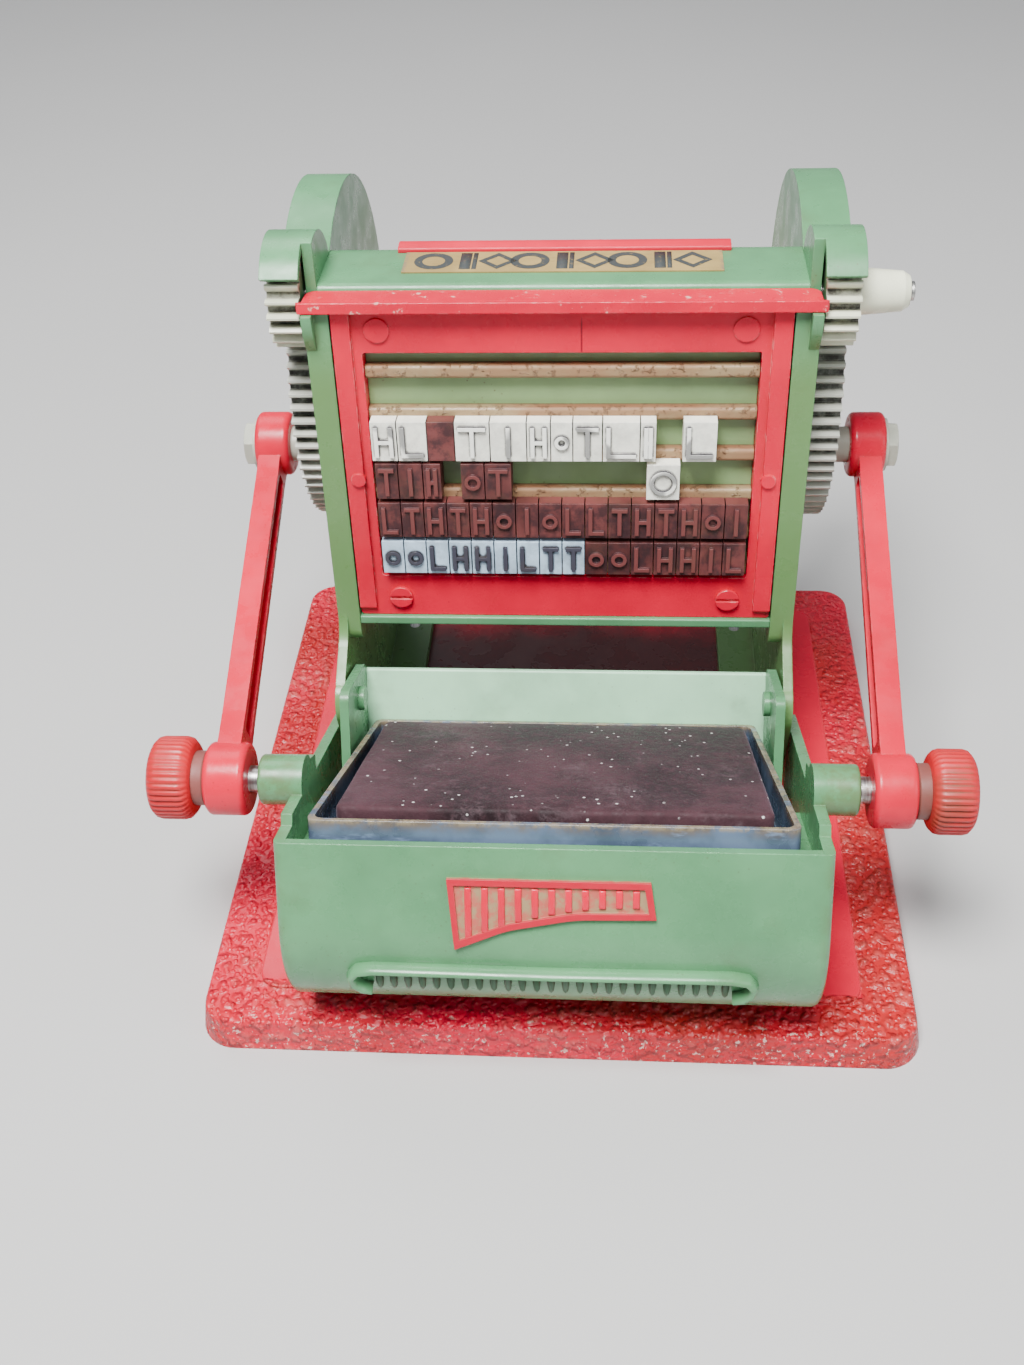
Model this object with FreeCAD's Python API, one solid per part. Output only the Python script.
import FreeCAD
import Part
import math
import os

os.makedirs("parts", exist_ok=True)

# Toy platen press.  Millimetres.  +X to the operator's right, +Y to the back, +Z up.
# Origin: middle of the base plate's footprint, on the table.

# ---------------------------------------------------------------- overall sizes
BASE_W = 160.0            # base plate, upper outline, left to right
BASE_D = 160.0            # base plate, upper outline, front to back
BASE_H = 8.0
BASE_FLARE = 1.5          # how far the foot of the plate stands out beyond its top
BASE_WALL = 3.0
BASE_CORNER = 7.0
BASE_BORDER = 11.5
PANEL_RISE = 0.8
FLOOR = BASE_H + PANEL_RISE

# ---------------------------------------------------------------- layers across the press
FACE_CLEAR = 0.5          # side clearance between parts that swing past each other
CHEEK_OUT = BASE_W / 2 - 26.6    # outer face of a cheek plate
CHEEK_T = 2.2
CHEEK_IN = CHEEK_OUT - CHEEK_T
FLANGE_W = 5.2            # width of the thick front edge of a cheek
FLANGE_D = 7.4
GEAR_IN = CHEEK_OUT + 0.6
GEAR_W = 7.0
GEAR_OUT = GEAR_IN + GEAR_W
GUARD_OUT = GEAR_OUT + 0.5
JAW_OUT = CHEEK_OUT + 3.1
JAW_PLATE_T = 2.4
JAW_PLATE_IN = JAW_OUT - JAW_PLATE_T
ARM_OUT = CHEEK_IN - FACE_CLEAR
ARM_T = 2.1
ARM_IN = ARM_OUT - ARM_T
BOSS_OUT = JAW_OUT + 7.4
EYE_IN = BOSS_OUT + 2.5
EYE_W = 9.0
EYE_OUT = EYE_IN + EYE_W
ROD_W = 5.2

# ---------------------------------------------------------------- axes of the mechanism, (Y, Z)
LEAN = 6.2                # how far the bed leans back from upright, degrees
JAW_TILT = 25.0           # how far the open jaw stands short of level, degrees
MODULE = 1.0
GEAR_TEETH = 75
PINION_TEETH = 20
MESH_SIDE = 136.0         # direction from gear axle to pinion shaft, degrees
HINGE = (-14.0, 47.0)
GEAR_AXIS = (48.5, 104.5)
TRUNNION = (-50.5, 56.0)
CRANK_PIN = (30.0, 90.5)
CENTRES = MODULE * (GEAR_TEETH + PINION_TEETH) / 2
PINION_AXIS = (GEAR_AXIS[0] + CENTRES * math.cos(math.radians(MESH_SIDE)),
               GEAR_AXIS[1] + CENTRES * math.sin(math.radians(MESH_SIDE)))
GEAR_TIP = MODULE * (GEAR_TEETH + 2) / 2
PINION_TIP = MODULE * (PINION_TEETH + 2) / 2
TOOTH_BACKLASH = 0.16
GUARD_CLEAR = 0.8
GUARD_WALL = 2.6
PINION_WALL = 1.5

# ---------------------------------------------------------------- shafts and fits
AXLE_R = 3.0
SHAFT_R = 2.0
PIN_R = 1.75
STUD_R = 2.9
BOLT_R = 2.5
RUN_FIT = 0.06            # radial clearance of a turning fit
SCREW_R = 1.5
NOSE_R = 6.5

# ---------------------------------------------------------------- bed and type
BED_FOOT = (-3.4, 68.8)   # lowest point of the type opening, on the plane of the cheek fronts
OPEN_TOP = 60.6
OPEN_BOTTOM = 5.8
CHASE_HALF = CHEEK_OUT - FLANGE_W - 0.3
OPEN_HALF = CHASE_HALF - 5.9     # half width of the type opening
CHASE_TOP = 70.4
CHASE_FOOT = -4.9
CHASE_T = 5.5
BED_FLOOR = -5.0
RAIL_PITCH = 9.7
RAIL_W = 3.0
RAIL_TOP = -2.5
RAIL_FIRST = 7.2
RAILS = 6
BAR_HALF = CHEEK_OUT + 1.0     # lifting bar, at its front edge
BAR_T = 2.3
BAR_FRONT = 1.9
TYPE_FACE = 1.0
TYPE_GAP = 0.12

# ---------------------------------------------------------------- hood
HOOD_T = 1.3
HOOD_FRONT = (10.5, 141.3)
HOOD_BACK = (31.5, 140.4)
HOOD_SKIRT = 118.0

# ---------------------------------------------------------------- jaw, in its own frame
# along: from the hinge towards the front lip;  rise: square to the platen
SHELL_FRONT = 60.9
SHELL_T = 2.4
SHELL_TOP = -12.0
SHELL_BEND = -31.0
SHELL_R = 24.5
SIDE_TOP_BACK = -6.8
SIDE_TOP_FRONT = -9.2
SIDE_BACK = -13.5
SIDE_STEP = 52.0
PLATEN_TOP = -18.5
PLATEN_T = 2.2
WALL_FRONT = -10.0
WALL_T = 1.8
WALL_TOP = 4.5
ARM_FRONT = 14.6
ARM_TOP = 5.7
TRUNNION_BOSS_R = 5.5
TRAY_FRONT = SHELL_FRONT - SHELL_T - 1.2
TRAY_BACK = WALL_FRONT + 0.8
TRAY_FRONT_HALF = JAW_PLATE_IN - 3.9
TRAY_BACK_HALF = ARM_IN - 2.4
TRAY_WALL = 1.2
TRAY_BOTTOM = PLATEN_TOP + 0.25
TRAY_H = 10.0
PAD_H = 9.8
KNOB_R = 9.1
KNOB_W = 9.2
KNOB_RIBS = 36
COLLAR_W = 2.8
COLLAR_R = 6.0
EYE_R_LOW = 8.0
EYE_R_HIGH = 7.6
EYE_STEP = 0.8            # the upper eye is this much narrower on its outer side
WASHER_T = 0.6
HEAD_H = 2.4
ROD_DEPTH = 9.0

V = FreeCAD.Vector


def save(node, shapes):
    """Write one node: one solid, or a group of separate solids."""
    solids = []
    for shape in shapes if isinstance(shapes, list) else [shapes]:
        solids.extend(shape.Solids)
    out = solids[0] if len(solids) == 1 else Part.makeCompound(solids)
    out.exportStep("parts/%s.step" % node)
    print(node, len(solids), "solids", round(sum(s.Volume for s in solids), 1), out.isValid())


def mirror(shape):
    """The same piece for the other side of the press."""
    return shape.mirror(V(0, 0, 0), V(1, 0, 0))


def polar(centre, radius, degrees):
    a = math.radians(degrees)
    return (centre[0] + radius * math.cos(a), centre[1] + radius * math.sin(a))


def rounded(points):
    """Closed outline from (p, q) or (p, q, corner radius); corners become true arcs."""
    edges = []
    marks = []
    n = len(points)
    for i, point in enumerate(points):
        here = V(point[0], point[1], 0)
        radius = point[2] if len(point) > 2 else 0.0
        if radius <= 0:
            marks.append((here, here, None))
            continue
        before = V(points[i - 1][0], points[i - 1][1], 0) - here
        after = V(points[(i + 1) % n][0], points[(i + 1) % n][1], 0) - here
        before.normalize()
        after.normalize()
        half = before.getAngle(after) / 2
        reach = radius / math.tan(half)
        middle = before + after
        middle.normalize()
        centre = here + middle * (radius / math.sin(half))
        marks.append((here + before * reach, here + after * reach, centre - middle * radius))
    for i in range(n):
        start, end, crest = marks[i]
        following = marks[(i + 1) % n][0]
        if crest is not None:
            edges.append(Part.Arc(start, crest, end).toShape())
        if (following - end).Length > 1e-6:
            edges.append(Part.LineSegment(end, following).toShape())
    return Part.Wire(edges)


def across(wire, x0, x1):
    """Stand a (Y, Z) outline up at x0 and carry it across to x1."""
    face = Part.Face(wire)
    face.rotate(V(0, 0, 0), V(1, 1, 1), 120)
    face.translate(V(x0, 0, 0))
    return face.extrude(V(x1 - x0, 0, 0))


def upright(points, x0, x1):
    return across(rounded(points), x0, x1)


def flat(points, z0, z1):
    face = Part.Face(rounded(points))
    face.translate(V(0, 0, z0))
    return face.extrude(V(0, 0, z1 - z0))


def rod_x(centre, radius, x0, x1):
    return Part.makeCylinder(radius, x1 - x0, V(x0, centre[0], centre[1]), V(1, 0, 0))


def ring_x(centre, outer, inner, x0, x1):
    return rod_x(centre, outer, x0, x1).cut(rod_x(centre, inner, x0 - 1, x1 + 1))


def turned_x(centre, profile, x0):
    """Turn an outline of (distance along X, radius) about an axis parallel to X."""
    points = [V(x0 + x, centre[0], centre[1] + r) for x, r in profile]
    points.append(points[0])
    face = Part.Face(Part.makePolygon(points))
    return face.revolve(V(0, centre[0], centre[1]), V(1, 0, 0), 360)


def rectangle(half_w, y0, y1, corner):
    return [(-half_w, y0, corner), (half_w, y0, corner), (half_w, y1, corner), (-half_w, y1, corner)]


# bed frame: s up the bed, w out of it towards the operator
BED_UP = (math.sin(math.radians(LEAN)), math.cos(math.radians(LEAN)))
BED_OUT = (-BED_UP[1], BED_UP[0])


def bed(s, w):
    return (BED_FOOT[0] + BED_UP[0] * s + BED_OUT[0] * w, BED_FOOT[1] + BED_UP[1] * s + BED_OUT[1] * w)


def bed_box(x0, x1, s0, s1, w0, w1, corner=0.0):
    return upright([bed(s0, w0), bed(s1, w0), bed(s1, w1) + (corner,), bed(s0, w1) + (corner,)], x0, x1)


def bed_plate(points, w0, w1):
    """Outline in (x, s) on the bed, carried from w0 out to w1."""
    face = Part.Face(rounded(points))
    face.rotate(V(0, 0, 0), V(1, 0, 0), 90 - LEAN)
    y, z = bed(0, w0)
    face.translate(V(0, y, z))
    return face.extrude(V(0, BED_OUT[0], BED_OUT[1]) * (w1 - w0))


def bed_cap(points, s0, s1):
    """Outline in (x, w) square to the bed, carried from s0 up to s1."""
    face = Part.Face(rounded([(p[0], -p[1]) + tuple(p[2:]) for p in points]))
    face.rotate(V(0, 0, 0), V(1, 0, 0), -LEAN)
    y, z = bed(s0, 0)
    face.translate(V(0, y, z))
    return face.extrude(V(0, BED_UP[0], BED_UP[1]) * (s1 - s0))


def bed_peg(x, s, radius, w0, w1):
    y, z = bed(s, w0)
    return Part.makeCylinder(radius, w1 - w0, V(x, y, z), V(0, BED_OUT[0], BED_OUT[1]))


# jaw frame
JAW_ALONG = (-math.cos(math.radians(JAW_TILT)), math.sin(math.radians(JAW_TILT)))
JAW_RISE = (math.sin(math.radians(JAW_TILT)), math.cos(math.radians(JAW_TILT)))


def jaw(a, n):
    return (HINGE[0] + JAW_ALONG[0] * a + JAW_RISE[0] * n, HINGE[1] + JAW_ALONG[1] * a + JAW_RISE[1] * n)


def jaw_outline(points):
    return [jaw(p[0], p[1]) + tuple(p[2:]) for p in points]


def jaw_plate(points, n0, n1):
    """Outline in (x, a) parallel to the platen, carried from n0 up to n1."""
    face = Part.Face(rounded(points))
    face.rotate(V(0, 0, 0), V(1, 0, 0), 180 - JAW_TILT)
    y, z = jaw(0, n0)
    face.translate(V(0, y, z))
    return face.extrude(V(0, JAW_RISE[0], JAW_RISE[1]) * (n1 - n0))


def involute(base, radius):
    return math.sqrt((radius / base) ** 2 - 1) - math.acos(base / radius)


def toothed(teeth, centre, first, x0, x1, bore):
    """Involute spur wheel; 'first' is the direction of the middle of one tooth."""
    pitch = MODULE * teeth / 2
    base = pitch * math.cos(math.radians(20))
    tip = pitch + MODULE
    root = pitch - 1.25 * MODULE
    start = max(base, root) + 0.01
    half = math.pi / (2 * teeth) - TOOTH_BACKLASH / (2 * pitch)
    lean_in = involute(base, pitch)
    radii = [start + (tip - start) * k / 3 for k in range(4)]
    edges = []
    pitch_angle = 2 * math.pi / teeth
    phase = math.radians(first)

    def at(radius, angle):
        return V(centre[0] + radius * math.cos(angle), centre[1] + radius * math.sin(angle), 0)

    for k in range(teeth):
        mid = phase + k * pitch_angle
        rising = [at(r, mid - half - lean_in + involute(base, r)) for r in radii]
        falling = [at(r, mid + half + lean_in - involute(base, r)) for r in reversed(radii)]
        foot_in = at(root, mid - half - lean_in)
        foot_out = at(root, mid + half + lean_in)
        next_foot = at(root, mid + pitch_angle - half - lean_in)
        between = at(root, mid + pitch_angle / 2)
        up = Part.BSplineCurve()
        up.interpolate(rising)
        down = Part.BSplineCurve()
        down.interpolate(falling)
        edges.append(Part.LineSegment(foot_in, rising[0]).toShape())
        edges.append(up.toShape())
        edges.append(Part.LineSegment(rising[-1], falling[0]).toShape())
        edges.append(down.toShape())
        edges.append(Part.LineSegment(falling[-1], foot_out).toShape())
        edges.append(Part.Arc(foot_out, between, next_foot).toShape())
    wheel = across(Part.Wire(edges), x0, x1)
    return wheel.cut(rod_x(centre, bore, x0 - 1, x1 + 1))


# ================================================================ base plate
FOOT_X = CHEEK_IN - 5.0
FOOT_FRONT = -8.0
FOOT_BACK = 66.0
SCREW_ROWS = (FOOT_FRONT + 9.0, FOOT_BACK - 9.0)
FOOT_T = 3.0


def base_plate():
    low = rounded(rectangle(BASE_W / 2 + BASE_FLARE, -BASE_D / 2 - BASE_FLARE, BASE_D / 2 + BASE_FLARE,
                            BASE_CORNER + BASE_FLARE))
    high = rounded(rectangle(BASE_W / 2, -BASE_D / 2, BASE_D / 2, BASE_CORNER))
    high.translate(V(0, 0, BASE_H))
    body = Part.makeLoft([low, high], True, True)
    rim = [e for e in body.Edges if min(v.Z for v in e.Vertexes) > BASE_H - 0.01]
    body = body.makeFillet(1.0, rim)
    panel = flat(rectangle(BASE_W / 2 - BASE_BORDER, -BASE_D / 2 + BASE_BORDER - 2, BASE_D / 2 - BASE_BORDER + 2,
                           BASE_CORNER - 2), BASE_H - 1, FLOOR)
    crest = [e for e in panel.Edges if min(v.Z for v in e.Vertexes) > FLOOR - 0.01]
    body = body.fuse(panel.makeFillet(0.5, crest))
    hollow = flat(rectangle(BASE_W / 2 - BASE_WALL, -BASE_D / 2 + BASE_WALL, BASE_D / 2 - BASE_WALL,
                            BASE_CORNER - 2), -1, BASE_H - BASE_WALL)
    ribs = []
    for x in (-FOOT_X, FOOT_X):
        ribs.append(Part.makeBox(1.6, BASE_D - 2 * BASE_WALL, BASE_H, V(x - 0.8, -BASE_D / 2 + BASE_WALL, 0.4)))
        for y in SCREW_ROWS:
            ribs.append(Part.makeCylinder(4.5, BASE_H, V(x, y, 0.4), V(0, 0, 1)))
    for y in SCREW_ROWS:
        ribs.append(Part.makeBox(BASE_W - 2 * BASE_WALL, 1.6, BASE_H, V(-BASE_W / 2 + BASE_WALL, y - 0.8, 0.4)))
    ribs.append(Part.makeBox(1.6, BASE_D - 2 * BASE_WALL, BASE_H, V(-0.8, -BASE_D / 2 + BASE_WALL, 0.4)))
    ribs.append(Part.makeCylinder(6.0, BASE_H, V(0, 0, 0), V(0, 0, 1)))
    for rib in ribs:
        hollow = hollow.cut(rib)
    body = body.cut(hollow)
    for x in (-FOOT_X, FOOT_X):
        for y in SCREW_ROWS:
            body = body.cut(Part.makeCylinder(SCREW_R + 0.2, 20, V(x, y, -1), V(0, 0, 1)))
            body = body.cut(Part.makeCylinder(3.1, 3.0, V(x, y, -0.1), V(0, 0, 1)))
    return body.removeSplitter()


save("base_plate", base_plate())

screws = []
for x in (-FOOT_X, FOOT_X):
    for y in SCREW_ROWS:
        shank = Part.makeCylinder(SCREW_R, FLOOR + FOOT_T - 1.2, V(x, y, 1.0), V(0, 0, 1))
        head = Part.makeCylinder(2.9, 1.9, V(x, y, 1.0), V(0, 0, 1))
        slot = Part.makeBox(6.4, 0.8, 0.9, V(x - 3.2, y - 0.4, 0.9))
        screws.append(shank.fuse(head).cut(slot).removeSplitter())
save("frame_screws", screws)


# ================================================================ cheeks with their gear guards
FLANGE_IN = CHEEK_OUT - FLANGE_W
GUARD_R = GEAR_TIP + GUARD_CLEAR + GUARD_WALL
COVER_R = PINION_TIP + GUARD_CLEAR + PINION_WALL
COVER_LIP = 141.0
GUARD_LIP = -28.0


def cheek():
    """Right-hand cheek."""
    nose_top = polar(HINGE, NOSE_R, 118)
    nose_front = polar(HINGE, NOSE_R, 190)
    side = upright([
        bed(-8.5, 0) + (9.0,),
        (nose_top[0], nose_top[1], 7.0),
        nose_front + (4.0,),
        (HINGE[0] - 2.0, HINGE[1] - 16.0, 8.0),
        (FOOT_FRONT, FLOOR + 6.0, 4.0),
        (FOOT_FRONT, FLOOR),
        (FOOT_BACK, FLOOR),
        (FOOT_BACK, FLOOR + 10.0, 12.0),
        polar(GEAR_AXIS, GUARD_R - 4, -18) + (10.0,),
        (GEAR_AXIS[0] + 8.0, GEAR_AXIS[1] + 8.0),
        (HOOD_BACK[0] + 4.0, HOOD_BACK[1] - 4.0),
        (HOOD_BACK[0], HOOD_BACK[1] - 0.2),
        (HOOD_FRONT[0], HOOD_FRONT[1] - 0.2, 1.2),
        bed(CHASE_TOP - 0.2, -CHASE_T - 0.3),
        bed(CHASE_TOP - 0.2, 0),
    ], CHEEK_IN, CHEEK_OUT)
    side = side.fuse(rod_x(GEAR_AXIS, GUARD_R, CHEEK_IN, CHEEK_OUT))
    side = side.fuse(rod_x(PINION_AXIS, COVER_R, CHEEK_IN, CHEEK_OUT))
    side = side.fuse(rod_x(HINGE, NOSE_R, CHEEK_IN, CHEEK_OUT))

    shell = rod_x(GEAR_AXIS, GUARD_R, CHEEK_OUT - 1, GUARD_OUT)
    shell = shell.fuse(rod_x(PINION_AXIS, COVER_R, CHEEK_OUT - 1, GUARD_OUT))
    shell = shell.cut(rod_x(GEAR_AXIS, GEAR_TIP + GUARD_CLEAR, CHEEK_OUT, GUARD_OUT + 1))
    shell = shell.cut(rod_x(PINION_AXIS, PINION_TIP + GUARD_CLEAR, CHEEK_OUT, GUARD_OUT + 1))
    open_side = upright([
        PINION_AXIS,
        polar(PINION_AXIS, 70, COVER_LIP),
        (-90, 110),
        (-90, 10),
        (130, 10),
        polar(GEAR_AXIS, 70, GUARD_LIP),
        GEAR_AXIS,
    ], CHEEK_OUT, GUARD_OUT + 1)
    shell = shell.cut(open_side)
    body = side.fuse(shell)

    flange = bed_box(FLANGE_IN, CHEEK_OUT, -13.0, CHASE_TOP - 0.2, -FLANGE_D, 0.0, 0.6)
    chin = bed_box(FLANGE_IN - 1, CHEEK_IN, -20.0, -9.0, -FLANGE_D - 1, 5.0)
    chin = chin.cut(upright([bed(-9.0, -2.0), bed(-9.0, 6.0), bed(-5, 6.0), bed(-5, -2.0)], 0, 60))
    round_cut = rod_x(bed(-9.0, -3.4), 3.4, FLANGE_IN - 2, CHEEK_IN)
    flange = flange.cut(chin.cut(round_cut))
    body = body.fuse(flange)
    body = body.cut(bed_box(FLANGE_IN - 1, CHEEK_OUT, CHASE_TOP - 0.2, CHASE_TOP + 25, -CHASE_T - 0.3, 12.0))

    foot = Part.makeBox(CHEEK_IN - FOOT_X + 5.0, FOOT_BACK - FOOT_FRONT, FOOT_T, V(FOOT_X - 5.0, FOOT_FRONT, FLOOR))
    body = body.fuse(foot)
    body = body.fuse(rod_x(GEAR_AXIS, AXLE_R + 2.5, CHEEK_IN - 3.0, CHEEK_IN))
    body = body.cut(rod_x(GEAR_AXIS, AXLE_R + RUN_FIT, CHEEK_IN - 4, CHEEK_OUT + 1))
    body = body.cut(rod_x(PINION_AXIS, SHAFT_R + RUN_FIT, CHEEK_IN - 4, CHEEK_OUT + 1))
    body = body.cut(rod_x(HINGE, PIN_R + RUN_FIT, CHEEK_IN - 1, CHEEK_OUT + 1))
    for y in SCREW_ROWS:
        body = body.cut(Part.makeCylinder(SCREW_R, 20, V(FOOT_X, y, FLOOR - 5), V(0, 0, 1)))
    return body.removeSplitter()


right_cheek = cheek()
save("cheek_right", right_cheek)
save("cheek_left", mirror(right_cheek))


# ================================================================ hood, label, back plate
def hood():
    t = HOOD_T
    front_y, front_z = HOOD_FRONT
    back_y, back_z = HOOD_BACK
    fall = (front_z - back_z) / (back_y - front_y)
    lip = bed(61.05, -CHASE_T - 0.3)
    skirt_y = back_y + 8.0
    return upright([
        (lip[0], lip[1]),
        (front_y, front_z, 1.6),
        (back_y, back_z, 9.0),
        (skirt_y, back_z - 10.0, 6.0),
        (skirt_y, HOOD_SKIRT, 0.6),
        (skirt_y - t, HOOD_SKIRT, 0.6),
        (skirt_y - t, back_z - 10.0 - t * 0.4, 5.0),
        (back_y - t * 0.6, back_z - t - 0.1, 7.5),
        (front_y + t + 0.2, front_z - t - fall * t, 0.6),
        (lip[0] + t, lip[1]),
    ], -CHEEK_IN, CHEEK_IN)


hood_body = hood()
for x0, x1 in ((FLANGE_IN - 0.05, CHEEK_IN + 1), (-CHEEK_IN - 1, -FLANGE_IN + 0.05)):
    hood_body = hood_body.cut(bed_box(x0, x1, 50.0, CHASE_TOP - 0.15, -FLANGE_D - 0.05, 4.0))
hood_body = hood_body.Solids[0]
save("hood", hood_body)

def on_hood(y, lift):
    share = (y - HOOD_FRONT[0]) / (HOOD_BACK[0] - HOOD_FRONT[0])
    z = HOOD_FRONT[1] + share * (HOOD_BACK[1] - HOOD_FRONT[1])
    return (y, z + lift)


LABEL_Y = (16.5, 27.0)
LABEL_T = 0.3
label = upright([on_hood(LABEL_Y[0], 0.02), on_hood(LABEL_Y[1], 0.02), on_hood(LABEL_Y[1], LABEL_T),
                 on_hood(LABEL_Y[0], LABEL_T)], -34.0, 34.0)
save("hood_label", label)

RED_Y = HOOD_BACK[0] + 8.0
rear_plate = upright([
    (RED_Y + 0.05, HOOD_SKIRT + 3.0),
    (RED_Y + 1.85, HOOD_SKIRT + 3.0, 0.8),
    (RED_Y + 1.85, HOOD_BACK[1] - 4.5, 7.0),
    (HOOD_BACK[0] - 0.6, HOOD_BACK[1] + 1.4, 5.0),
    on_hood(LABEL_Y[1] + 0.3, 1.0) + (0.4,),
    on_hood(LABEL_Y[1] + 0.3, 0.02),
    on_hood(HOOD_BACK[0] - 1.0, 0.02),
    (RED_Y + 0.05, HOOD_BACK[1] - 8.0),
], -36.0, 36.0).cut(hood_body)
save("rear_plate", rear_plate.Solids[0])


# ================================================================ bed: back plate, shelf, chase, rails
back_plate = bed_box(-CHEEK_IN, CHEEK_IN, -8.6, 61.0, -CHASE_T - 1.9, -CHASE_T - 0.1, 0.3)
shelf = bed_box(-FLANGE_IN, FLANGE_IN, CHASE_FOOT - 2.2, CHASE_FOOT - 0.1, -CHASE_T - 1.0, -0.3, 0.4)
bed_back = back_plate.fuse(shelf)
for x0, x1 in ((FLANGE_IN - 0.05, CHEEK_IN + 1), (-CHEEK_IN - 1, -FLANGE_IN + 0.05)):
    bed_back = bed_back.cut(bed_box(x0, x1, -20.0, 80.0, -FLANGE_D - 0.05, 4.0))
save("bed_back", bed_back.removeSplitter())

CHASE_SCREW_X = 38.0
CHASE_SCREW_S = 0.2


def chase():
    frame = bed_plate([(-CHASE_HALF, CHASE_FOOT, 0.8), (CHASE_HALF, CHASE_FOOT, 0.8),
                       (CHASE_HALF, CHASE_TOP), (-CHASE_HALF, CHASE_TOP)], -CHASE_T, -1.4)
    opening = bed_plate([(-OPEN_HALF, OPEN_BOTTOM, 0.6), (OPEN_HALF, OPEN_BOTTOM, 0.6),
                         (OPEN_HALF, OPEN_TOP, 0.6), (-OPEN_HALF, OPEN_TOP, 0.6)], -CHASE_T - 1, 1)
    for sign in (-1, 1):
        x0, x1 = sorted((sign * CHASE_HALF, sign * (CHASE_HALF - 3.9)))
        frame = frame.fuse(bed_box(x0, x1, CHASE_FOOT + 2.0, CHASE_TOP, -CHASE_T, -0.3, 0.6))
    frame = frame.cut(opening)
    back_half = CHEEK_OUT - 0.2
    bar = bed_cap([(-back_half, -CHASE_T, 2.5), (back_half, -CHASE_T, 2.5), (back_half, 1.15),
                   (BAR_HALF, 1.15), (BAR_HALF, BAR_FRONT, 0.7), (-BAR_HALF, BAR_FRONT, 0.7),
                   (-BAR_HALF, 1.15), (-back_half, 1.15)], CHASE_TOP - 0.02, CHASE_TOP + BAR_T)
    web = bed_box(-CHASE_HALF, CHASE_HALF, CHASE_TOP - 3.0, CHASE_TOP, -CHASE_T, -1.4)
    frame = frame.fuse([bar, web])
    for sign in (-1, 1):
        frame = frame.fuse(bed_peg(sign * 38.5, 65.6, 2.7, -2.0, -1.0))
        frame = frame.fuse(bed_peg(sign * 45.2, 31.2, 1.6, -2.0, 0.25))
        frame = frame.cut(bed_peg(sign * CHASE_SCREW_X, CHASE_SCREW_S, 1.3, -CHASE_T - 1, 1))
    return frame.removeSplitter()


save("chase", chase())

chase_screws = []
for sign in (-1, 1):
    head = bed_peg(sign * CHASE_SCREW_X, CHASE_SCREW_S, 2.7, -1.38, -0.5)
    shank = bed_peg(sign * CHASE_SCREW_X, CHASE_SCREW_S, 1.25, -CHASE_T - 0.05, -1.0)
    slot = bed_box(sign * CHASE_SCREW_X - 3, sign * CHASE_SCREW_X + 3, CHASE_SCREW_S - 0.35, CHASE_SCREW_S + 0.35,
                   -0.95, 0.5)
    chase_screws.append(head.fuse(shank).cut(slot).removeSplitter())
save("chase_screws", chase_screws)

type_plate = bed_box(-OPEN_HALF + 0.1, OPEN_HALF - 0.1, OPEN_BOTTOM + 0.1, OPEN_TOP - 0.1, -CHASE_T - 0.05, BED_FLOOR)
save("type_plate", type_plate)

rails = []
for k in range(RAILS):
    s = RAIL_FIRST + k * RAIL_PITCH
    low = max(s - RAIL_W / 2, OPEN_BOTTOM + 0.1)
    rails.append(bed_box(-OPEN_HALF + 0.1, OPEN_HALF - 0.1, low, s + RAIL_W / 2, BED_FLOOR, RAIL_TOP, 0.9))
save("type_rails", rails)


# ================================================================ rubber type
def relief(kind, x0, x1, s0, s1):
    """A plain raised printing mark on a block's face."""
    w0, w1 = TYPE_FACE - 0.05, TYPE_FACE + 0.7
    mid = (x0 + x1) / 2
    centre = (s0 + s1) / 2
    wide = (x1 - x0) / 2 - 0.7
    tall = (s1 - s0) / 2 - 1.0
    bar = 0.45
    if kind == "ring":
        outer = min(wide, tall)
        return bed_peg(mid, centre, outer, w0, w1).cut(bed_peg(mid, centre, outer - 0.8, w0 - 1, w1 + 1))
    post = bed_box(mid - bar, mid + bar, centre - tall, centre + tall, w0, w1)
    if kind == "post":
        return post
    edge = bed_box(mid - wide, mid - wide + 2 * bar, centre - tall, centre + tall, w0, w1)
    if kind == "angle":
        return edge.fuse(bed_box(mid - wide, mid + wide, centre - tall, centre - tall + 2 * bar, w0, w1))
    if kind == "gate":
        other = bed_box(mid + wide - 2 * bar, mid + wide, centre - tall, centre + tall, w0, w1)
        return edge.fuse([other, bed_box(mid - wide, mid + wide, centre - bar, centre + bar, w0, w1)])
    return post.fuse(bed_box(mid - wide, mid + wide, centre + tall - 2 * bar, centre + tall, w0, w1))


MARKS = ("gate", "angle", "ring", "tee", "post", "gate", "ring", "tee", "angle")


def type_block(x0, x1, row, mark, tall):
    """Foot between two rails, wider head above them."""
    low = RAIL_FIRST + row * RAIL_PITCH + RAIL_W / 2
    high = low + RAIL_PITCH - RAIL_W
    a = x0 + TYPE_GAP
    b = x1 - TYPE_GAP
    foot = bed_box(a, b, low + 0.1, high - 0.1, BED_FLOOR + 0.02, RAIL_TOP + 0.3)
    middle = (low + high) / 2
    head = bed_box(a, b, middle - tall / 2, middle + tall / 2, RAIL_TOP + 0.05, TYPE_FACE)
    block = foot.fuse(head)
    if mark:
        block = block.fuse(relief(mark, a, b, middle - tall / 2, middle + tall / 2))
    return block.removeSplitter()


white = []
brown = []
x = -OPEN_HALF + 0.5
for k, width in enumerate((5.8, 6.6, 6.0, 7.7, 8.0, 5.2, 4.8, 6.4, 8.1, 3.5)):
    block = type_block(x, x + width, 3, MARKS[k % 9] if k != 2 else None, 9.2)
    (brown if k == 2 else white).append(block)
    x += width
white.append(type_block(x + 5.6, x + 13.0, 3, "angle", 9.2))

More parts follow.
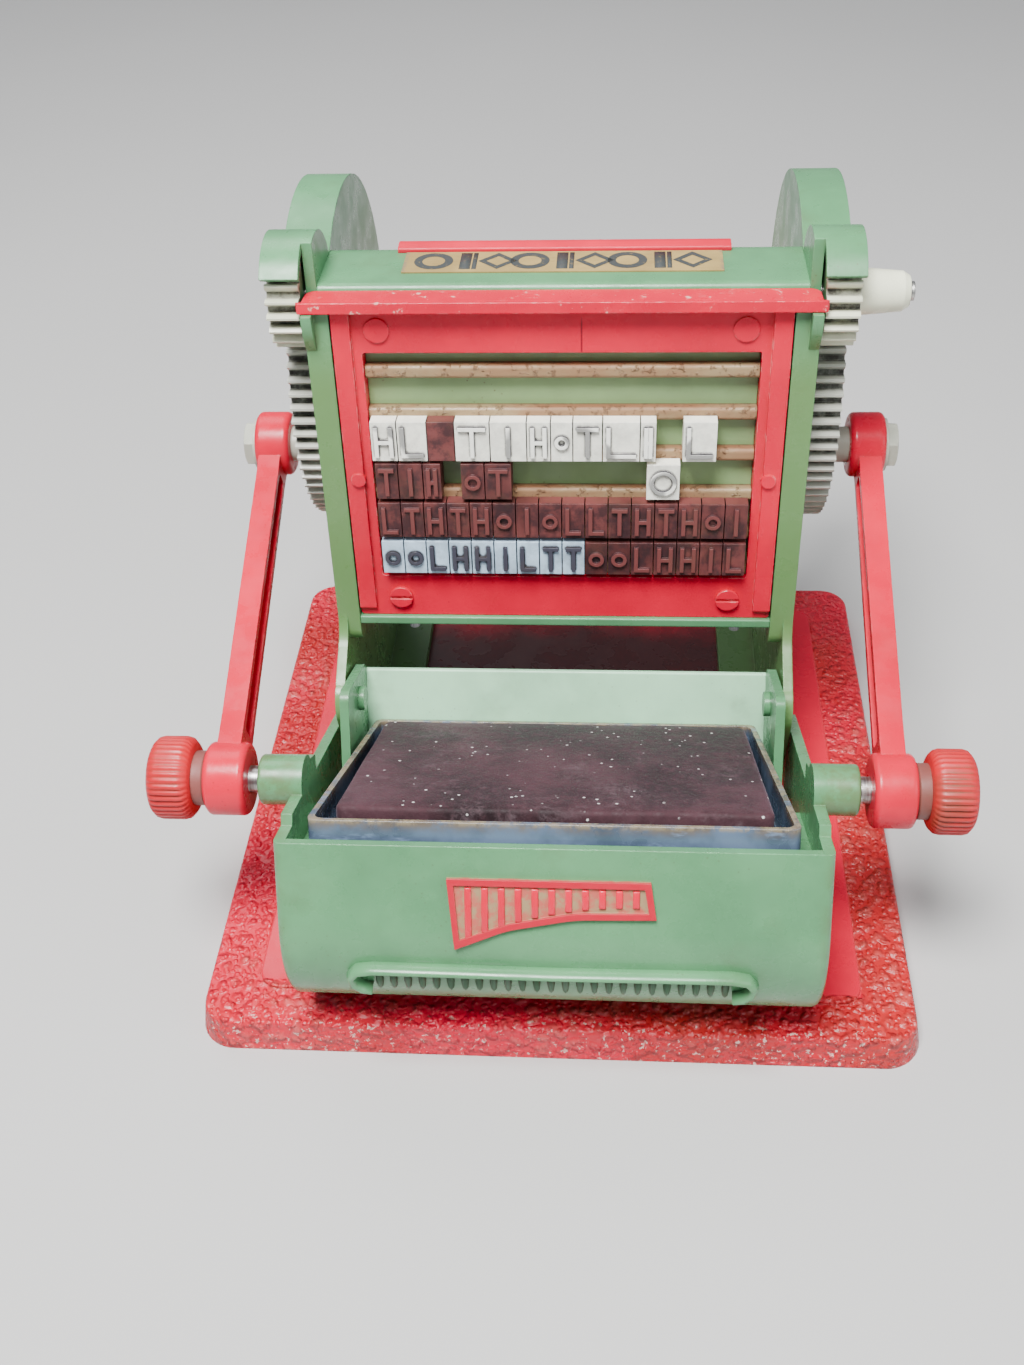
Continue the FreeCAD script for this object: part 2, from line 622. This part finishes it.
x = -OPEN_HALF + 0.8
for k, (gap, width) in enumerate(((0, 5.1), (0, 5.5), (0, 4.1), (4.3, 5.3), (0, 6.0))):
    x += gap
    brown.append(type_block(x, x + width, 2, MARKS[(k + 3) % 9], 8.6))
    x += width

ROW_STEP = (2 * OPEN_HALF - 1.4) / 16
for k in range(16):
    x = -OPEN_HALF + 0.7 + k * ROW_STEP
    brown.append(type_block(x, x + ROW_STEP, 1, MARKS[(k * 2 + 1) % 9], 8.6))
pale = []
for k in range(16):
    x = -OPEN_HALF + 0.7 + k * ROW_STEP
    block = type_block(x, x + ROW_STEP, 0, MARKS[(k * 4 + 2) % 9], 8.2)
    (pale if k < 9 else brown).append(block)
save("type_white", white)
save("type_brown", brown)
save("type_pale", pale)

LOOSE_X = 22.4
LOOSE_X = 18.6
save("type_loose", type_block(LOOSE_X, LOOSE_X + 7.4, 2, "ring", 8.4))


# ================================================================ gear train
wheel = toothed(GEAR_TEETH, GEAR_AXIS, MESH_SIDE, GEAR_IN, GEAR_OUT, AXLE_R)
wheel = wheel.cut(ring_x(GEAR_AXIS, GEAR_TIP - 6.0, AXLE_R + 6.0, GEAR_IN - 1, GEAR_IN + 2.4))
save("gear_right", wheel)
save("gear_left", mirror(wheel))

RING_T = 0.8
AXLE_HALF = GEAR_OUT + RING_T + 0.1
save("gear_axle", rod_x(GEAR_AXIS, AXLE_R, -AXLE_HALF, AXLE_HALF))
caps = []
for sign in (-1, 1):
    x0, x1 = sorted((sign * GEAR_OUT, sign * (GEAR_OUT + RING_T)))
    caps.append(ring_x(GEAR_AXIS, AXLE_R + 2.0, AXLE_R, x0, x1))
save("axle_rings", caps)

MESH_GAP = MESH_SIDE + 180 + 180.0 / PINION_TEETH
pinion = toothed(PINION_TEETH, PINION_AXIS, MESH_GAP, GEAR_IN, GEAR_OUT, SHAFT_R)
save("pinion_right", pinion)
save("pinion_left", mirror(pinion))

HUB_L = 11.0
hub = turned_x(PINION_AXIS, [(0, SHAFT_R), (0, 5.2), (0.6, 5.2), (0.6, 4.9), (HUB_L - 1.4, 4.1), (HUB_L, 3.2),
                             (HUB_L, SHAFT_R)], GEAR_OUT)
save("crank_hub", hub)
shaft = rod_x(PINION_AXIS, SHAFT_R, -GEAR_OUT - 0.6, GEAR_OUT + HUB_L + 1.0)
save("pinion_shaft", shaft)


# ================================================================ connecting rods
ROD_MID = (EYE_IN + EYE_OUT) / 2
dy = CRANK_PIN[0] - TRUNNION[0]
dz = CRANK_PIN[1] - TRUNNION[1]
ROD_L = math.hypot(dy, dz)
ROD_DIR = (dy / ROD_L, dz / ROD_L)
ROD_UP = (-ROD_DIR[1], ROD_DIR[0])


def along_rod(t, d):
    return (TRUNNION[0] + ROD_DIR[0] * t + ROD_UP[0] * d, TRUNNION[1] + ROD_DIR[1] * t + ROD_UP[1] * d)


def rod():
    half = ROD_W / 2
    bar = upright([along_rod(3, -5.2), along_rod(14, -ROD_DEPTH / 2) + (12.0,),
                   along_rod(ROD_L - 10, -ROD_DEPTH / 2 + 0.6) + (10.0,), along_rod(ROD_L - 2, -4.6),
                   along_rod(ROD_L - 2, 4.6), along_rod(ROD_L - 10, ROD_DEPTH / 2 - 0.6) + (10.0,),
                   along_rod(14, ROD_DEPTH / 2) + (12.0,), along_rod(3, 5.2)],
                  ROD_MID - half, ROD_MID + half)
    low = rod_x(TRUNNION, EYE_R_LOW, EYE_IN, EYE_OUT)
    high = rod_x(CRANK_PIN, EYE_R_HIGH, EYE_IN, EYE_OUT - EYE_STEP)
    low = low.makeFillet(1.3, [e for e in low.Edges if e.Curve.TypeId == "Part::GeomCircle"])
    high = high.makeFillet(1.3, [e for e in high.Edges if e.Curve.TypeId == "Part::GeomCircle"])
    body = bar.fuse([low, high])
    groove = [along_rod(EYE_R_LOW + 2.5, -2.6) + (1.2,), along_rod(ROD_L - EYE_R_HIGH - 2.5, -2.2) + (1.2,),
              along_rod(ROD_L - EYE_R_HIGH - 2.5, 2.2) + (1.2,), along_rod(EYE_R_LOW + 2.5, 2.6) + (1.2,)]
    body = body.cut(upright(groove, ROD_MID - half - 1, ROD_MID - half + 1.7))
    body = body.cut(upright(groove, ROD_MID + half - 1.7, ROD_MID + half + 1))
    body = body.cut(rod_x(TRUNNION, STUD_R + RUN_FIT, EYE_IN - 1, EYE_OUT + 1))
    body = body.cut(rod_x(CRANK_PIN, BOLT_R, EYE_IN - 1, EYE_OUT + 1))
    return body.removeSplitter()


right_rod = rod()
save("rod_right", right_rod)
save("rod_left", mirror(right_rod))

PIN_END = 0.3             # the crank pin stops just short of the wheel it belongs to
bolt_x0 = GEAR_OUT + PIN_END
eye_x = EYE_OUT - EYE_STEP
head_x = eye_x + WASHER_T
bolt = rod_x(CRANK_PIN, BOLT_R, bolt_x0, head_x)
hexagon = [polar(CRANK_PIN, 5.6, 30 + 60 * k) for k in range(6)]
head = upright(hexagon, head_x, head_x + HEAD_H)
crown = turned_x(CRANK_PIN, [(0, 0), (0, 6.4), (HEAD_H - 0.8, 6.4), (HEAD_H, 4.9), (HEAD_H, 0)], head_x)
bolt = bolt.fuse(head.common(crown)).removeSplitter()
save("crank_bolt_right", bolt)
save("crank_bolt_left", mirror(bolt))
washer = ring_x(CRANK_PIN, 6.2, BOLT_R, eye_x, head_x)
spacer = ring_x(CRANK_PIN, 4.2, BOLT_R, AXLE_HALF + PIN_END, EYE_IN)
save("crank_washers_right", [washer, spacer])
save("crank_washers_left", [mirror(washer), mirror(spacer)])


# ================================================================ jaw
def shell_profile(grow):
    """Outer line of the front shell, from its upper edge round to its lower lip."""
    front = SHELL_FRONT + grow
    radius = SHELL_R + grow
    ca = SHELL_FRONT - SHELL_R
    cn = SHELL_BEND
    end = 96.0
    mid = 48.0
    p = [jaw(front, SHELL_TOP), jaw(front, cn),
         jaw(ca + radius * math.cos(math.radians(mid)), cn - radius * math.sin(math.radians(mid))),
         jaw(ca + radius * math.cos(math.radians(end)), cn - radius * math.sin(math.radians(end)))]
    return [V(q[0], q[1], 0) for q in p]


def shell_between(inner, outer, x0, x1):
    i = shell_profile(inner)
    o = shell_profile(outer)
    edges = [Part.LineSegment(o[0], o[1]).toShape(), Part.Arc(o[1], o[2], o[3]).toShape(),
             Part.LineSegment(o[3], i[3]).toShape(), Part.Arc(i[3], i[2], i[1]).toShape(),
             Part.LineSegment(i[1], i[0]).toShape(), Part.LineSegment(i[0], o[0]).toShape()]
    return across(Part.Wire(edges), x0, x1)


STUD_IN = JAW_PLATE_IN + 0.6


def side_plate():
    """Right-hand side of the jaw with its trunnion boss."""
    ca = SHELL_FRONT - SHELL_R
    end = math.radians(96.0)
    o = shell_profile(0)
    back_low = jaw(ca + SHELL_R * math.cos(end), SHELL_BEND - SHELL_R * math.sin(end))
    outline = [jaw(SIDE_BACK, SIDE_TOP_BACK), jaw(SIDE_STEP, SIDE_TOP_FRONT), jaw(SIDE_STEP + 0.6, SHELL_TOP + 0.4),
               jaw(SHELL_FRONT, SHELL_TOP)]
    pts = [V(q[0], q[1], 0) for q in outline]
    edges = [Part.LineSegment(pts[k], pts[k + 1]).toShape() for k in range(3)]
    edges.append(Part.LineSegment(pts[3], o[1]).toShape())
    edges.append(Part.Arc(o[1], o[2], o[3]).toShape())
    low = [V(back_low[0], back_low[1], 0)] + [V(q[0], q[1], 0) for q in (jaw(14.0, -38.0), jaw(SIDE_BACK, -22.0))]
    edges.append(Part.LineSegment(low[0], low[1]).toShape())
    edges.append(Part.LineSegment(low[1], low[2]).toShape())
    edges.append(Part.LineSegment(low[2], pts[0]).toShape())
    plate = across(Part.Wire(edges), JAW_PLATE_IN, JAW_OUT)
    boss = rod_x(TRUNNION, TRUNNION_BOSS_R, JAW_PLATE_IN, BOSS_OUT)
    boss = boss.makeFillet(0.8, [e for e in boss.Edges if e.Curve.TypeId == "Part::GeomCircle"
                                 and e.CenterOfMass.x > BOSS_OUT - 0.1])
    ta = (TRUNNION[0] - HINGE[0]) * JAW_ALONG[0] + (TRUNNION[1] - HINGE[1]) * JAW_ALONG[1]
    tn = (TRUNNION[0] - HINGE[0]) * JAW_RISE[0] + (TRUNNION[1] - HINGE[1]) * JAW_RISE[1]
    lug = upright(jaw_outline([(ta - 9.5, tn - 6), (ta - 3.0, tn - 6), (ta - 3.0, tn + 3.6, 0.8),
                               (ta - 9.5, tn + 2.6, 0.8)]), JAW_PLATE_IN, JAW_OUT + 2.6)
    return plate.fuse([boss, lug])


def jaw_body():
    shell = shell_between(-SHELL_T, 0, -JAW_OUT, JAW_OUT)
    plate = side_plate()
    platen_wide = jaw_plate([(-JAW_PLATE_IN, 22.0), (JAW_PLATE_IN, 22.0), (JAW_PLATE_IN, SHELL_FRONT - 1.0),
                             (-JAW_PLATE_IN, SHELL_FRONT - 1.0)], PLATEN_TOP - PLATEN_T, PLATEN_TOP)
    platen_back = jaw_plate([(-ARM_OUT, WALL_FRONT - WALL_T), (ARM_OUT, WALL_FRONT - WALL_T), (ARM_OUT, 23.0),
                             (-ARM_OUT, 23.0)], PLATEN_TOP - PLATEN_T, PLATEN_TOP)
    body = shell.fuse([plate, mirror(plate)])
    for sign in (-1, 1):
        x0, x1 = sorted((sign * STUD_IN, sign * (BOSS_OUT + 1)))
        body = body.cut(rod_x(TRUNNION, STUD_R, x0, x1))
    platen = platen_wide.fuse(platen_back).cut(body)
    return body.removeSplitter(), platen.removeSplitter()


jaw_main, platen = jaw_body()
save("jaw_platen", platen)
drum_rim = [e for e in jaw_main.Edges
            if abs(abs(e.CenterOfMass.x) - JAW_OUT) < 0.01 and e.Curve.TypeId == "Part::GeomCircle"
            and abs(e.Curve.Radius - SHELL_R) < 0.01]
jaw_main = jaw_main.makeFillet(1.6, drum_rim)
save("jaw_shell", jaw_main)

arm = upright(jaw_outline([(WALL_FRONT - WALL_T, PLATEN_TOP + 0.02), (ARM_FRONT, PLATEN_TOP + 0.02),
                           (ARM_FRONT, ARM_TOP, 2.5), (WALL_FRONT + 2, ARM_TOP + 0.6, 3.0),
                           (WALL_FRONT - WALL_T, ARM_TOP - 2.0, 1.5)]), ARM_IN, ARM_OUT)
arm = arm.cut(rod_x(HINGE, PIN_R, ARM_IN - 1, ARM_OUT + 1))
save("jaw_arm_right", arm)
save("jaw_arm_left", mirror(arm))

wall = upright(jaw_outline([(WALL_FRONT - WALL_T, PLATEN_TOP + 0.02), (WALL_FRONT, PLATEN_TOP + 0.02),
                            (WALL_FRONT, WALL_TOP, 0.6), (WALL_FRONT - WALL_T, WALL_TOP, 0.6)]),
               -ARM_IN, ARM_IN)
save("jaw_wall", wall)

pins = []
for sign in (-1, 1):
    x0, x1 = sorted((sign * (ARM_IN - 1.4), sign * (CHEEK_OUT + 0.1)))
    h0, h1 = sorted((sign * (ARM_IN - 1.4), sign * ARM_IN))
    pins.append(rod_x(HINGE, PIN_R, x0, x1).fuse(rod_x(HINGE, 2.9, h0, h1)).removeSplitter())
save("hinge_pins", pins)


def grip_lip():
    """Ledge under the front of the jaw, its ends turned down, with finger ribs beneath."""
    ca = SHELL_FRONT - SHELL_R

    def out(theta, radius):
        a = math.radians(theta)
        return jaw(ca + radius * math.cos(a), SHELL_BEND - radius * math.sin(a))

    ledge = upright([out(17, SHELL_R - 0.6), out(17, SHELL_R + 3.4) + (0.9,), out(21.5, SHELL_R + 3.6) + (0.9,),
                     out(22, SHELL_R - 0.6)], -41.5, 41.5)
    ends = []
    for sign in (-1, 1):
        x0, x1 = sorted((sign * 41.5, sign * 39.0))
        ends.append(upright([out(18, SHELL_R - 0.6), out(18, SHELL_R + 3.2) + (1.2,), out(43, SHELL_R + 0.6),
                             out(43, SHELL_R - 0.6)], x0, x1))
    lip = ledge.fuse(ends)
    for k in range(-12, 13):
        x = k * 3.0
        rib = upright([out(20, SHELL_R - 0.4), out(20, SHELL_R + 1.8), out(24, SHELL_R + 1.8) + (0.8,),
                       out(40, SHELL_R + 0.5), out(40, SHELL_R - 0.4)], x - 0.7, x + 0.7)
        lip = lip.fuse(rib)
    return lip.cut(jaw_main).removeSplitter()


save("grip_lip", grip_lip())


def nameplate():
    """Raised plate with a plain border, its lower edge sweeping up to the right."""
    def prism(points):
        face = Part.Face(rounded(points))
        face.rotate(V(0, 0, 0), V(1, 0, 0), 90 - JAW_TILT)
        y, z = jaw(SHELL_FRONT - 30, 0)
        face.translate(V(0, y, z))
        return face.extrude(V(0, JAW_ALONG[0], JAW_ALONG[1]) * 40)

    ground = shell_between(0.02, 0.45, -30, 30)
    border = shell_between(0.02, 1.1, -30, 30)
    whole = [(-21.0, -18.6), (-19.6, -34.4), (-9.0, -29.8, 24.0), (5.0, -27.0, 30.0), (21.4, -26.6), (20.2, -18.6)]
    inside = [(-19.6, -20.0), (-18.6, -32.2), (-8.6, -28.3, 22.0), (5.0, -25.6, 30.0), (19.9, -25.3), (19.0, -20.0)]
    plate = ground.common(prism(whole))
    frame = border.common(prism(whole)).cut(prism(inside))
    return plate.fuse(frame).removeSplitter()


save("nameplate", nameplate())

studs = []
for sign in (-1, 1):
    x0, x1 = sorted((sign * STUD_IN, sign * (EYE_OUT + COLLAR_W + KNOB_W - 2.0)))
    studs.append(rod_x(TRUNNION, STUD_R, x0, x1))
save("trunnion_studs", studs)


# ================================================================ thumb knobs
COLLAR_X = EYE_OUT + 0.15


def knob():
    x0 = COLLAR_X + COLLAR_W
    body = turned_x(TRUNNION, [(0, 0), (0, KNOB_R - 1.6), (1.2, KNOB_R - 0.4), (KNOB_W - 1.6, KNOB_R - 0.4),
                               (KNOB_W, KNOB_R - 2.0), (KNOB_W, 0)], x0)
    rib_x0 = x0 + 1.0
    ribs = []
    for k in range(KNOB_RIBS):
        a = 360.0 / KNOB_RIBS * k
        ribs.append(rod_x(polar(TRUNNION, KNOB_R - 0.62, a), 0.62, rib_x0, x0 + KNOB_W - 1.4))
    body = body.fuse(ribs)
    dish = turned_x(TRUNNION, [(KNOB_W - 0.9, 0), (KNOB_W - 0.9, 5.2), (KNOB_W + 0.5, 6.0), (KNOB_W + 0.5, 0)], x0)
    body = body.cut(dish)
    body = body.cut(rod_x(TRUNNION, STUD_R + RUN_FIT, x0 - 1, EYE_OUT + COLLAR_W + KNOB_W - 1.9))
    return body.removeSplitter()


right_knob = knob()
save("knob_right", right_knob)
save("knob_left", mirror(right_knob))
collar = turned_x(TRUNNION, [(0, STUD_R + RUN_FIT), (0, COLLAR_R - 0.5), (0.5, COLLAR_R), (COLLAR_W - 0.05, COLLAR_R),
                             (COLLAR_W - 0.05, STUD_R + RUN_FIT)], COLLAR_X)
save("knob_collar_right", collar)
save("knob_collar_left", mirror(collar))


# ================================================================ ink tray and pad
def tray_outline(inset):
    slope = (TRAY_FRONT_HALF - TRAY_BACK_HALF) / (TRAY_FRONT - TRAY_BACK)
    a0 = TRAY_BACK + inset
    a1 = TRAY_FRONT - inset
    b0 = TRAY_BACK_HALF - inset + slope * inset
    b1 = TRAY_FRONT_HALF - inset - slope * inset
    return [(-b0, -a0, 2.0), (-b1, -a1, 2.0), (b1, -a1, 2.0), (b0, -a0, 2.0)]


def level_plate(points, n0, n1):
    """Like jaw_plate, for an outline whose second value runs back towards the hinge."""
    face = Part.Face(rounded(points))
    face.rotate(V(0, 0, 0), V(1, 0, 0), -JAW_TILT)
    y, z = jaw(0, n0)
    face.translate(V(0, y, z))
    return face.extrude(V(0, JAW_RISE[0], JAW_RISE[1]) * (n1 - n0))


tray = level_plate(tray_outline(0), TRAY_BOTTOM, TRAY_BOTTOM + TRAY_H)
tray = tray.cut(level_plate(tray_outline(TRAY_WALL), TRAY_BOTTOM + TRAY_WALL, TRAY_BOTTOM + TRAY_H + 1))
save("ink_tray", tray)

PAD_FRONT = TRAY_FRONT - TRAY_WALL - 5.5
PAD_BACK = TRAY_BACK + TRAY_WALL + 1.2
pad = level_plate([(-43.6, -PAD_BACK, 2.5), (-45.6, -PAD_FRONT, 2.0), (45.6, -PAD_FRONT, 2.0), (43.6, -PAD_BACK, 2.5)],
                  TRAY_BOTTOM + TRAY_WALL + 0.05, TRAY_BOTTOM + TRAY_WALL + PAD_H)
UPWARD = V(0, JAW_RISE[0], JAW_RISE[1])
pad_crest = V(0, *jaw(0, TRAY_BOTTOM + TRAY_WALL + PAD_H - 0.02)).dot(UPWARD)
pad = pad.makeFillet(0.9, [e for e in pad.Edges if e.CenterOfMass.dot(UPWARD) > pad_crest])
save("ink_pad", pad)
